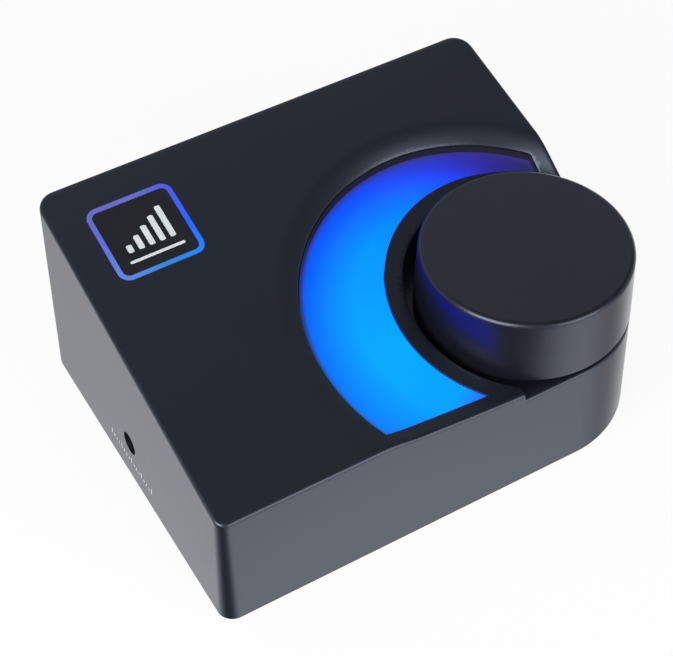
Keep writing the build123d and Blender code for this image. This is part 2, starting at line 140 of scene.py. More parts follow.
finishLooks = {
    # ABS moulded against a spark-eroded tool: near black, satin, with a very fine even grain
    "sparkErodedAbs": {"colour": ("#10131a", "#13161d"), "roughness": (0.32, 0.36), "grain": 0.35, "patch": 40,
                       "bump": 0.12, "depth": 0.02, "ior": 1.8, "tint": "#d6e3ff"},
    # ABS moulded against a finer tool: a shade lighter and smoother, as hands touch it
    "satinAbs": {"colour": ("#121318", "#15161c"), "roughness": (0.28, 0.32), "grain": 0.35, "patch": 30,
                 "bump": 0.06, "depth": 0.02, "ior": 1.7, "tint": "#d6e3ff"},
    # the cover underneath: matt ABS with a coarser grain
    "mattAbs": {"colour": ("#17181b", "#1a1b1e"), "roughness": (0.55, 0.65), "grain": 0.6, "patch": 30,
                "bump": 0.25, "depth": 0.04},
    # cast silicone rubber feet: dull and slightly dusty
    "siliconeRubber": {"colour": ("#151515", "#1d1d1d"), "roughness": (0.7, 0.85), "grain": 0.5, "patch": 4,
                       "bump": 0.3, "depth": 0.05},
    # injection-moulded nylon: black, with a dull waxy gloss
    "blackNylon": {"colour": ("#141416", "#19191c"), "roughness": (0.4, 0.5), "grain": 0.4, "patch": 8,
                   "bump": 0.15, "depth": 0.02, "ior": 1.53},
    # natural nylon: off-white plugs and actuators
    "naturalNylon": {"colour": ("#d8d2bf", "#e2ddcc"), "roughness": (0.4, 0.5), "grain": 0.4, "patch": 5,
                     "bump": 0.15, "depth": 0.02, "ior": 1.53},
    # white reflector plastic: bright and even, so that light mixes inside the box
    "reflectorAbs": {"colour": ("#eeeeea", "#f4f4f2"), "roughness": (0.5, 0.6), "grain": 0.5, "patch": 10,
                     "bump": 0.1, "depth": 0.02},
    # nickel plate on turned brass: bright and slightly warm, with fine turning haze
    "nickelPlate": {"colour": ("#c9c4bb", "#d6d1c8"), "roughness": (0.16, 0.26), "grain": 0.25, "patch": 5,
                    "bump": 0.08, "depth": 0.01, "metallic": 1.0},
    # rolled stainless steel: grey, brighter than cast metal
    "rolledSteel": {"colour": ("#b4b5b6", "#c2c3c4"), "roughness": (0.24, 0.34), "grain": 0.3, "patch": 6,
                    "bump": 0.1, "depth": 0.01, "metallic": 1.0},
    # die-cast zinc: dull grey with a mottled skin
    "castZinc": {"colour": ("#8f9194", "#a3a5a8"), "roughness": (0.38, 0.5), "grain": 0.5, "patch": 4,
                 "bump": 0.2, "depth": 0.03, "metallic": 1.0},
    # turned brass hub: yellow metal
    "turnedBrass": {"colour": ("#b8933f", "#c7a24c"), "roughness": (0.22, 0.32), "grain": 0.25, "patch": 5,
                    "bump": 0.1, "depth": 0.01, "metallic": 1.0},
    # black oxide on steel screws: dark with a soft metal gleam
    "blackOxideSteel": {"colour": ("#26272a", "#303135"), "roughness": (0.32, 0.42), "grain": 0.3, "patch": 3,
                        "bump": 0.12, "depth": 0.01, "metallic": 0.9},
    # solder mask over glass fibre: dark green and glossy, with a faint weave below
    "solderMask": {"colour": ("#0d2b1d", "#123526"), "roughness": (0.2, 0.3), "grain": 0.8, "patch": 6,
                   "bump": 0.1, "depth": 0.01},
    # transfer-moulded epoxy chips
    "mouldedEpoxy": {"colour": ("#1b1b1d", "#222224"), "roughness": (0.5, 0.6), "grain": 0.3, "patch": 3,
                     "bump": 0.2, "depth": 0.02},
    # shrunk sleeve on capacitors
    "shrinkSleeve": {"colour": ("#20233a", "#292c46"), "roughness": (0.3, 0.4), "grain": 0.5, "patch": 4,
                     "bump": 0.1, "depth": 0.02},
    # extruded PVC flat cable
    "extrudedPvc": {"colour": ("#8d9095", "#9a9da2"), "roughness": (0.4, 0.5), "grain": 1.27, "patch": 6,
                    "bump": 0.3, "depth": 0.05},
    # silicone over a light-emitting chip
    "ledSilicone": {"colour": ("#e6dfa8", "#efe9bb"), "roughness": (0.25, 0.35), "grain": 0.4, "patch": 2,
                    "bump": 0.05, "depth": 0.01},
    # tinted cast acrylic: nearly black and glossy
    "tintedAcrylic": {"colour": ("#11131a", "#15171f"), "roughness": (0.2, 0.28), "grain": 1.0, "patch": 6,
                      "bump": 0.02, "depth": 0.01, "ior": 1.6},
    # screen-printed ink: pale grey and matt
    "screenInk": {"colour": ("#cdd0d4", "#d8dbdf"), "roughness": (0.6, 0.7), "grain": 0.2, "patch": 3,
                  "bump": 0.1, "depth": 0.01},
    # the same ink in white on the badge, a little cooler
    "badgeInk": {"colour": ("#cfd8dc", "#dde4e8"), "roughness": (0.5, 0.6), "grain": 0.2, "patch": 3,
                 "bump": 0.1, "depth": 0.01},
}
finishes = {name: mouldedFinish(name, look) for name, look in finishLooks.items()}

lensLook = {
    "centre": (21.47, -21.565),     # of the outer circle, in the part's frame
    "outer": 40.3,
    "right": 50.2,
    "knob": (31.0, -19.225),
    "glow": 3.0,
    # colours round the knob, from the back right end to the front left end: degrees clockwise from straight back
    "turn": (45, -135),
    "alongOuter": [(0.05, "#151334"), (0.17, "#1a1560"), (0.34, "#132281"), (0.43, "#052a90"), (0.6, "#013498"),
                   (0.86, "#034b97")],
    "alongInner": [(0.05, "#151338"), (0.13, "#141360"), (0.23, "#0030c2"), (0.35, "#004bf4"), (0.52, "#005aff"),
                   (0.78, "#0066ff"), (0.93, "#0062ff"), (0.99, "#1434f0")],
    # the rim's glow is partly painted light: its faint grey stands in for the light the rim catches, and its blue
    # towards the front left is the lens's own glow
    "rim": [(0.0, "#131319"), (0.53, "#0d0e17"), (0.68, "#062a50"), (0.86, "#0f4078")],
    "fringe": "#1b1650",
    "inGloss": "#8a4ccb",         # multiplies what gloss nearby shows, which is deeper and more violet
    "rimWidth": 0.42,
    "rimBlur": 0.05,
    "fringeEnd": 1.3,
    "innerStart": 11.5,
    "specular": (0.02, 0.12),     # of the rim and of the face
    "roughness": (0.3, 0.4),
    "haze": 7,                    # size of its faint patches
    "unlit": "#04060a",
}


def litPolycarbonate(name, look):
    # opal polycarbonate over blue and violet lights: azure beside the knob and to the left, deeper blue along the
    # outer arc, violet to the back, and a rim whose faint grey glow is painted light, turning blue towards the front
    # left
    material, tree, output = newMaterial(name)
    place = addNode(tree, "TexCoord").outputs["Object"]
    fromKnob = addNode(tree, "VectorMath", {"operation": "SUBTRACT", 1: inMetres(look["knob"])}, {0: place})
    flat = addNode(tree, "SeparateXYZ", links={0: fromKnob.outputs[0]})
    angle = addNode(tree, "Math", {"operation": "ARCTAN2"}, {0: flat.outputs["X"], 1: flat.outputs["Y"]})
    start, end = (math.radians(a) for a in look["turn"])
    around = addNode(tree, "MapRange", {"From Min": start, "From Max": end}, {"Value": angle.outputs[0]})
    colours = {}
    for part in ("alongOuter", "alongInner", "rim"):
        colours[part] = addNode(tree, "ValToRGB", links={"Fac": around.outputs["Result"]})
        fillRamp(colours[part], look[part])
    fromCentre = addNode(tree, "VectorMath", {"operation": "SUBTRACT", 1: inMetres(look["centre"])}, {0: place})
    level = addNode(tree, "VectorMath", {"operation": "MULTIPLY", 1: (1, 1, 0)}, {0: fromCentre.outputs[0]})
    reach = addNode(tree, "VectorMath", {"operation": "LENGTH"}, {0: level.outputs[0]})
    fromArc = addNode(tree, "Math", {"operation": "SUBTRACT", 0: look["outer"] * mm}, {1: reach.outputs["Value"]})
    across = addNode(tree, "SeparateXYZ", links={0: place})
    fromEnd = addNode(tree, "Math", {"operation": "SUBTRACT", 0: look["right"] * mm}, {1: across.outputs["X"]})
    nearer = addNode(tree, "Math", {"operation": "MINIMUM"}, {0: fromArc.outputs[0], 1: fromEnd.outputs[0]})

    def between(low, high):
        # rises from 0 to 1 between two distances inside the outline
        return addNode(tree, "MapRange", {"From Min": low * mm, "From Max": high * mm}, {"Value": nearer.outputs[0]})

    step = between(look["rimWidth"], look["rimWidth"] + look["rimBlur"])
    clear = between(look["rimWidth"], look["fringeEnd"])
    deep = between(look["fringeEnd"], look["innerStart"])
    body = addNode(tree, "Mix", {"data_type": "RGBA"}, {"Factor": deep.outputs["Result"],
                                                        6: colours["alongOuter"].outputs["Color"],
                                                        7: colours["alongInner"].outputs["Color"]})
    fringed = addNode(tree, "Mix", {"data_type": "RGBA", 6: linear(look["fringe"])},
                      {"Factor": clear.outputs["Result"], 7: body.outputs[2]})
    # the rim band takes the rim's colours: a painted grey glow, bluer towards the front left
    lit = addNode(tree, "Mix", {"data_type": "RGBA"}, {"Factor": step.outputs["Result"],
                                                       6: colours["rim"].outputs["Color"], 7: fringed.outputs[2]})
    path = addNode(tree, "LightPath")
    shown = addNode(tree, "Mix", {"data_type": "RGBA", "blend_type": "MULTIPLY", 7: linear(look["inGloss"])},
                    {"Factor": path.outputs["Is Glossy Ray"], 6: lit.outputs[2]})
    low, high = look["specular"]
    specular = addNode(tree, "MapRange", {"To Min": low, "To Max": high}, {"Value": step.outputs["Result"]})
    haze = addNode(tree, "TexNoise", {"Scale": 1 / (look["haze"] * mm), "Detail": 2.0}, {"Vector": place})
    low, high = look["roughness"]
    gloss = addNode(tree, "MapRange", {"To Min": low, "To Max": high}, {"Value": haze.outputs["Fac"]})
    shader = addNode(tree, "BsdfPrincipled", {"Base Color": linear(look["unlit"]), "Emission Strength": look["glow"]},
                     {"Emission Color": shown.outputs[2], "Specular IOR Level": specular.outputs["Result"],
                      "Roughness": gloss.outputs["Result"]})
    tree.links.new(shader.outputs["BSDF"], output.inputs["Surface"])
    return material


finishes["opalPolycarbonate"] = litPolycarbonate("opalPolycarbonate", lensLook)

badgeLook = {
    "centre": (-35.82, 23.395),
    "glow": 1.0,
    # colours round the frame, clockwise from the middle of its front side
    "round": [(0.0, "#2a84cf"), (0.14, "#5f80e0"), (0.26, "#5a68dc"), (0.38, "#6466bc"), (0.52, "#6668bc"),
              (0.64, "#4858dc"), (0.77, "#1f5cff"), (0.88, "#0c80f4"), (1.0, "#2a84cf")],
    "unlit": "#10142a", "roughness": 0.3, "ior": 1.49,
}


def litAcrylic(name, look):
    # opal acrylic frame lit from below, violet at the back left and azure at the front right
    material, tree, output = newMaterial(name)
    place = addNode(tree, "TexCoord").outputs["Object"]
    centred = addNode(tree, "VectorMath", {"operation": "SUBTRACT", 1: inMetres(look["centre"])}, {0: place})
    flat = addNode(tree, "SeparateXYZ", links={0: centred.outputs[0]})
    angle = addNode(tree, "Math", {"operation": "ARCTAN2"}, {0: flat.outputs["X"], 1: flat.outputs["Y"]})
    around = addNode(tree, "MapRange", {"From Min": -math.pi, "From Max": math.pi}, {"Value": angle.outputs[0]})
    ramp = addNode(tree, "ValToRGB", links={"Fac": around.outputs["Result"]})
    fillRamp(ramp, look["round"])
    shader = addNode(tree, "BsdfPrincipled", {"Base Color": linear(look["unlit"]), "Roughness": look["roughness"],
                                              "IOR": look["ior"], "Emission Strength": look["glow"]},
                     {"Emission Color": ramp.outputs["Color"]})
    tree.links.new(shader.outputs["BSDF"], output.inputs["Surface"])
    return material


finishes["opalAcrylic"] = litAcrylic("opalAcrylic", badgeLook)

slotFinish = {
    "housing_abs": "sparkErodedAbs", "base_abs": "mattAbs", "knob_abs": "satinAbs",
    "lens_polycarbonate": "opalPolycarbonate", "reflector_white": "reflectorAbs",
    "badge_acrylic": "opalAcrylic", "badge_gloss": "tintedAcrylic", "led_silicone": "ledSilicone",
    "solder_mask": "solderMask", "chip_epoxy": "mouldedEpoxy", "capacitor_sleeve": "shrinkSleeve",
    "connector_nylon": "naturalNylon", "ribbon_pvc": "extrudedPvc", "jack_nylon": "blackNylon",
    "nickel_plate": "nickelPlate", "inlet_steel": "rolledSteel", "encoder_zinc": "castZinc",
    "hub_brass": "turnedBrass", "zinc_screw": "blackOxideSteel", "foot_rubber": "siliconeRubber",
}
for part in frame["record"]["subparts"]:
    node = frame["nodes"][part["node"]]
    node.data.materials.clear()
    node.data.materials.append(finishes[slotFinish[part["material_slot"]]])
print("finishes ready:", len(finishes))

# ---- housing

# places are measured from the left and front edges of the case, heights from the desk, angles in degrees
case = {
    "width": 110.0, "depth": 85.85, "frontHeight": 30.6, "topSlope": 11.96, "highest": 49.6, "wallDraft": 2.0,
    "backCorner": 6.0, "leftCorner": 3.5, "knobCorner": 24.0, "edgeRadius": 0.7, "wall": 2.2, "standOff": 1.35,
    "rearReach": 1.1, "knobFromRight": 24.0, "knobFromFront": 24.25,
    "wellRadius": 25.5, "wellSide": 14.7, "wellFloor": 27.15, "bushHole": 3.7,
    "dishRise": 0.17, "dishCone": 0.119, "dishApex": 29.57, "dishStart": 20.0, "blend": 9.2,
    "lensRadius": 40.3, "lensX": 76.47, "lensY": 21.91, "lensInner": 29.43, "lensFront": 4.39, "lensRight": 105.2,
}
# how the shell's mesh is laid out
shell = {
    # insets of the lines that the rounded edge of the top, and of the floor of the well, runs through
    "topRings": (0.0, 0.08, 0.22, 0.42, case["edgeRadius"], 1.2), "floorRings": (0.0, 0.1, 0.3, case["edgeRadius"]),
    # lines on both sides of the dish's edge: how many, how far apart, and points in each
    "blendRings": 8, "ringStep": 0.58, "ringPoints": 220,
    # spacing of the free points on the top and of the outline's points, and the free points' least inset
    "grid": 1.4, "outlineStep": 1.0, "gridInset": 1.4,
    # the same for the floor of the well, and half the side of its square of points
    "floorGrid": 3, "floorInset": 1.2, "floorReach": 26,
    # points round the small corners and the large one, round a boxed opening's corner, and round small holes
    "cornerSteps": (24, 60), "boxSteps": 8, "bushSteps": 48, "holeSteps": 64,
    # points along the lens opening's arcs and spacing along its ends, and the same for lines inside it and the well
    "lensArcs": (160, 130), "lensEnds": (0.6, 0.8), "sunkArc": 240, "wellArc": 200, "endStep": 0.5,
    # a fine bevel round the well and the lens opening: its width, where a point counts as in it, and its depth
    "wellBevel": (0.15, 0.08), "lensBevel": (0.12, 0.06), "bevelDrop": 0.08,
    # depth of the sides of the openings in the top, height of the band below an edge, top of the inner faces
    "openingDepth": 2.4, "band": 0.4, "innerTop": 5.5,
    # how near a point has to be to a line to count as on it, and to the rear or left wall to belong to it
    "near": 0.02, "flatReach": 4,
    "crease": 32,     # degrees
}
left = -case["width"] / 2
front = -(case["depth"] + case["rearReach"]) / 2
right = left + case["width"]
back = front + case["depth"]
knobX = right - case["knobFromRight"]
knobY = front + case["knobFromFront"]
draft = math.tan(math.radians(case["wallDraft"]))
floorEdge = case["wellFloor"] - case["edgeRadius"]


def topHeight(x, y):
    # the sloping top, sunk smoothly into a shallow tilted cone round the knob
    slope = case["standOff"] + case["frontHeight"] + (y - front) * math.tan(math.radians(case["topSlope"]))
    reach = max(math.hypot(x - knobX, y - knobY), case["dishStart"])
    dish = case["dishApex"] + case["dishRise"] * (y - knobY) + case["dishCone"] * reach
    outside = math.hypot(x - left - case["lensX"], y - front - case["lensY"]) - case["lensRadius"]
    t = min(max(0.5 - outside / case["blend"], 0.0), 1.0)
    weight = t * t * (3 - 2 * t)
    return slope * (1 - weight) + dish * weight


def cornerRadius(x, y):
    if y > (front + back) / 2:
        return case["backCorner"]
    return case["knobCorner"] if x > 0 else case["leftCorner"]


def wallDistance(x, y):
    # distance outside the footprint, negative inside it
    r = cornerRadius(x, y)
    qx = abs(x) - case["width"] / 2 + r
    qy = abs(y - (front + back) / 2) - case["depth"] / 2 + r
    return min(max(qx, qy), 0.0) + math.hypot(max(qx, 0.0), max(qy, 0.0)) - r


def outward(x, y):
    # the direction in which the distance outside the footprint grows
    step = 0.01
    g = Vector((wallDistance(x + step, y) - wallDistance(x - step, y),
                wallDistance(x, y + step) - wallDistance(x, y - step)))
    return g.normalized()


def footprint():
    # the footprint's outline, anticlockwise
    points = []
    spacing = shell["outlineStep"]
    few, many = shell["cornerSteps"]
    for x, y, start in ((right, front, -90), (right, back, 0), (left, back, 90), (left, front, 180)):
        r = cornerRadius(x, y)
        cx = x - math.copysign(r, x)
        cy = y - math.copysign(r, y)
        steps = many if r == case["knobCorner"] else few
        arc = [Vector((cx + r * math.cos(math.radians(start + 90 * i / steps)),
                       cy + r * math.sin(math.radians(start + 90 * i / steps)))) for i in range(steps + 1)]
        if points:
            points += straight(points[-1], arc[0], spacing)
        points += arc
    return points + straight(points[-1], points[0], spacing)


def straight(a, b, spacing):
    steps = max(int((b - a).length / spacing), 1)
    return [a.lerp(b, i / steps) for i in range(1, steps)]


def circle(x, y, r, steps):
    return [Vector((x + r * math.cos(math.tau * i / steps), y + r * math.sin(math.tau * i / steps)))
            for i in range(steps)]


def arcBetween(centre, a, b, clockwise, steps):
    start = math.atan2(a.y - centre.y, a.x - centre.x)
    end = math.atan2(b.y - centre.y, b.x - centre.x)
    turn = (end - start) % math.tau
    if clockwise:
        turn -= math.tau
    r = (a - centre).length
    return [centre + r * Vector((math.cos(start + turn * i / steps), math.sin(start + turn * i / steps)))
            for i in range(steps + 1)]


def crescent(inset=0.0):
    # outline of the lens opening, or of the lens when inset
    outer = case["lensRadius"] - inset
    inner = case["lensInner"] + inset
    low = case["lensFront"] + inset
    high = case["lensRight"] - inset
    centre = Vector((left + case["lensX"], front + case["lensY"]))
    knob = Vector((knobX, knobY))
    frontOuter = Vector((centre.x - math.sqrt(outer ** 2 - (centre.y - front - low) ** 2), front + low))
    rightOuter = Vector((left + high, centre.y + math.sqrt(outer ** 2 - (left + high - centre.x) ** 2)))
    rightInner = Vector((left + high, knob.y + math.sqrt(inner ** 2 - (left + high - knob.x) ** 2)))
    frontInner = Vector((knob.x - math.sqrt(inner ** 2 - (knob.y - front - low) ** 2), front + low))
    outerSteps, innerSteps = shell["lensArcs"]
    rightStep, frontStep = shell["lensEnds"]
    points = arcBetween(centre, frontOuter, rightOuter, True, outerSteps)
    points += straight(rightOuter, rightInner, rightStep)
    points += arcBetween(knob, rightInner, frontInner, False, innerSteps)
    return points + straight(frontInner, frontOuter, frontStep)


def sunkOutline(inset):
    # a closed line along the outer arc and the right-hand end, which closes outside the crescent
    centre = Vector((left + case["lensX"], front + case["lensY"]))
    outer = case["lensRadius"] - inset
    end = left + case["lensRight"] - inset
    first = Vector((centre.x - math.sqrt(outer ** 2 - (centre.y - front) ** 2), front))
    last = Vector((end, centre.y + math.sqrt(outer ** 2 - (end - centre.x) ** 2)))
    low = Vector((end, knobY))
    return (arcBetween(centre, first, last, True, shell["sunkArc"]) + straight(last, low, shell["endStep"])
            + [low, Vector((knobX, front - 1))])


def inCrescent(x, y, inset=0.0):
    return (math.hypot(x - left - case["lensX"], y - front - case["lensY"]) < case["lensRadius"] - inset
            and math.hypot(x - knobX, y - knobY) > case["lensInner"] + inset
            and y > front + case["lensFront"] + inset and x < left + case["lensRight"] - inset)


def roundedBox(x, y, width, height, r):
    points = []
    steps = shell["boxSteps"]
    for sx, sy, start in ((1, -1, -90), (1, 1, 0), (-1, 1, 90), (-1, -1, 180)):
        cx = x + sx * (width / 2 - r)
        cy = y + sy * (height / 2 - r)
        points += [Vector((cx + r * math.cos(math.radians(start + 90 * i / steps)),
                           cy + r * math.sin(math.radians(start + 90 * i / steps)))) for i in range(steps + 1)]
    return points


def inRoundedBox(x, y, cx, cy, width, height, r):
    qx = abs(x - cx) - width / 2 + r
    qy = abs(y - cy) - height / 2 + r
    return min(max(qx, qy), 0.0) + math.hypot(max(qx, 0.0), max(qy, 0.0)) < r


def addPanel(bm, loops, loose, keep, lift):
    # triangulates the area inside the closed loops, keeps the triangles that keep() says, and lifts them into space
    points, edges = [], []
    for loop in loops:
        first = len(points)
        points += loop
        edges += [(first + i, first + (i + 1) % len(loop)) for i in range(len(loop))]
    points += loose
    found, _, triangles = delaunay_2d_cdt(points, edges, [], 0, 1e-5)[:3]
    made = {}
    faces = []
    for triangle in triangles:
        middle = sum((found[i] for i in triangle), Vector((0, 0))) / len(triangle)
        if not keep(middle.x, middle.y):
            continue
        for i in triangle:
            if i not in made:
                made[i] = bm.verts.new(lift(found[i].x, found[i].y))
        faces.append(bm.faces.new([made[i] for i in triangle]))
    return faces


def addSkirt(bm, edges, levels):
    # walls that run from boundary edges through each level, a level being a function from a point to a point
    made = {}
    for edge in edges:
        for vert in edge.verts:
            if vert not in made:
                column = [vert]
                for level in levels:
                    column.append(bm.verts.new(level(vert.co)))
                made[vert] = column
    for edge in edges:
        loop = edge.link_loops[0]
        a, b = made[loop.link_loop_next.vert], made[loop.vert]
        for i in range(len(levels)):
            bm.faces.new((a[i], b[i], b[i + 1], a[i + 1]))


def middleOf(edge):
    return (edge.verts[0].co + edge.verts[1].co) / 2


def rim(faces, test):
    # boundary edges of some faces whose middle passes a test, always in the same order
    edges = dict.fromkeys(e for f in faces for e in f.edges if len(e.link_faces) == 1)
    return [e for e in edges if test(middleOf(e))]


def gridPoints(x0, x1, y0, y1, step):
    points = []
    rows = int((y1 - y0) / step) + 1
    for row in range(rows):
        shift = step / 2 if row % 2 else 0
        points += [Vector((x0 + shift + i * step, y0 + row * step)) for i in range(int((x1 - x0) / step) + 1)]
    return points


def finishMesh(bm, name, material, body):
    # bmesh in millimetres to an object in metres that rides a body
    bmesh.ops.remove_doubles(bm, verts=bm.verts, dist=1e-4)
    bmesh.ops.recalc_face_normals(bm, faces=bm.faces)
    bmesh.ops.scale(bm, vec=(mm, mm, mm), verts=bm.verts)
    mesh = bpy.data.meshes.new(name)
    bm.to_mesh(mesh)
    bm.free()
    mesh.shade_smooth()
    mesh.set_sharp_from_angle(angle=math.radians(shell["crease"]))
    mesh.materials.append(material)
    piece = bpy.data.objects.new(name, mesh)
    bpy.context.scene.collection.objects.link(piece)
    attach(piece, body)
    return piece


badge = {
    "width": 19.6, "length": 19.3, "corner": 2.6, "x": 19.18, "y": 66.87, "gap": 0.1,
    "reach": 16.0,     # a circle round the opening that stays clear of the walls
}
badgeHole = (badge["width"] + 2 * badge["gap"], badge["length"] + 2 * badge["gap"], badge["corner"])
slopeCos = math.cos(math.radians(case["topSlope"]))
badgeX = left + badge["x"]
badgeY = front + badge["y"]


def inBadge(x, y):
    return inRoundedBox(x, (y - badgeY) / slopeCos, badgeX, 0, *badgeHole)


def insetAt(x, y, z):
    # how far a point lies inside the drafted walls
    return -wallDistance(x, y) - (z - case["standOff"]) * draft


def wallNormal(p):
    # outward from a point of the outline, taken just inside it where the direction is settled
    return outward(p.x * 0.999, p.y * 0.999)


def rounded(height, x, y):
    # a surface's height less the rounding of its outer edge
    r = case["edgeRadius"]
    inset = max(insetAt(x, y, height - r), 0.0)
    z = height - (r - math.sqrt(r * r - (r - inset) ** 2)) if inset < r else height
    return min(z, case["highest"])


def ringInside(inset, height):
    # the footprint moved in to where a surface of that height has its edge, and then by inset
    points = []
    for p in footprint():
        n = wallNormal(p)
        q = p
        for _ in range(4):
            z = height(q.x, q.y) - case["edgeRadius"]
            q = p - n * (inset + (z - case["standOff"]) * draft)
        points.append(q)
    return points


def wellOutline(extra=0.0):
    # the round well, squared off where it breaks through the front and right walls
    r = case["wellRadius"] + extra
    side = case["wellSide"] + extra
    run = math.sqrt(r * r - side * side)
    knob = Vector((knobX, knobY))
    first, last = knob + Vector((-side, -run)), knob + Vector((run, side))
    # corners beyond the walls
    corners = [Vector((right + 2, last.y)), Vector((right + 2, front - 2)), Vector((first.x, front - 2))]
    return (arcBetween(knob, first, last, True, shell["wellArc"]) + straight(last, corners[0], shell["endStep"])
            + corners + straight(corners[-1], first, shell["endStep"]))


def inWell(x, y, extra=0.0):
    dx, dy = x - knobX, y - knobY
    r = case["wellRadius"] + extra
    side = case["wellSide"] + extra
    run = math.sqrt(r * r - side * side)
    return math.hypot(dx, dy) < r or (dx > -side and dy < -run) or (dx > run and dy < side)


def nearWell(p):
    return not inWell(p.x, p.y, -shell["near"]) and inWell(p.x, p.y, shell["near"])


def atWall(point):
    return abs(insetAt(point.x, point.y, point.z)) < shell["near"]


def lowered(depth):
    return lambda p: Vector((p.x, p.y, p.z - depth))


def onWall(height):
    # the wall's point straight below another of its points, at some height, or a band lower when none is given
    def level(p):
        n = outward(p.x, p.y)
        z = height if height is not None else p.z - shell["band"]
        move = -wallDistance(p.x, p.y) - (z - case["standOff"]) * draft
        return Vector((p.x + n.x * move, p.y + n.y * move, z))
    return level


def toFloor(p):
    if atWall(p):
        return onWall(floorEdge)(p)
    return Vector((p.x, p.y, rounded(case["wellFloor"], p.x, p.y)))


# the recess in the rear wall and its openings: places are (from the left, up), sizes are (width, height)
rear = {
    "centre": (59.0, 17.0), "size": (72.0, 20.0), "corner": 1.0, "recess": 1.2, "depth": 1.6,
    "jacks": ((62.0, 17.0), (84.0, 17.0)), "jackHole": 4.6, "power": (34.0, 11.4), "powerSize": (9.8, 4.0),
    "powerCorner": 1.99, "inner": 0.5,     # what lies this far inside the recess belongs to its openings
}
# the opening in the left wall, with a ring of points round it
aux = {"y": 43.05, "z": 12.8, "hole": 2.65, "ring": 0.25, "depth": 2.2}


def rearBox(centre, size, corner):
    # an outline on the rear wall, and the test for a point inside it
    x, z = left + centre[0], centre[1]
    return roundedBox(x, z, *size, corner), lambda u, v: inRoundedBox(u, v, x, z, *size, corner)


recessOutline, inRecess = rearBox(rear["centre"], rear["size"], rear["corner"])
powerOutline, inPower = rearBox(rear["power"], rear["powerSize"], rear["powerCorner"])


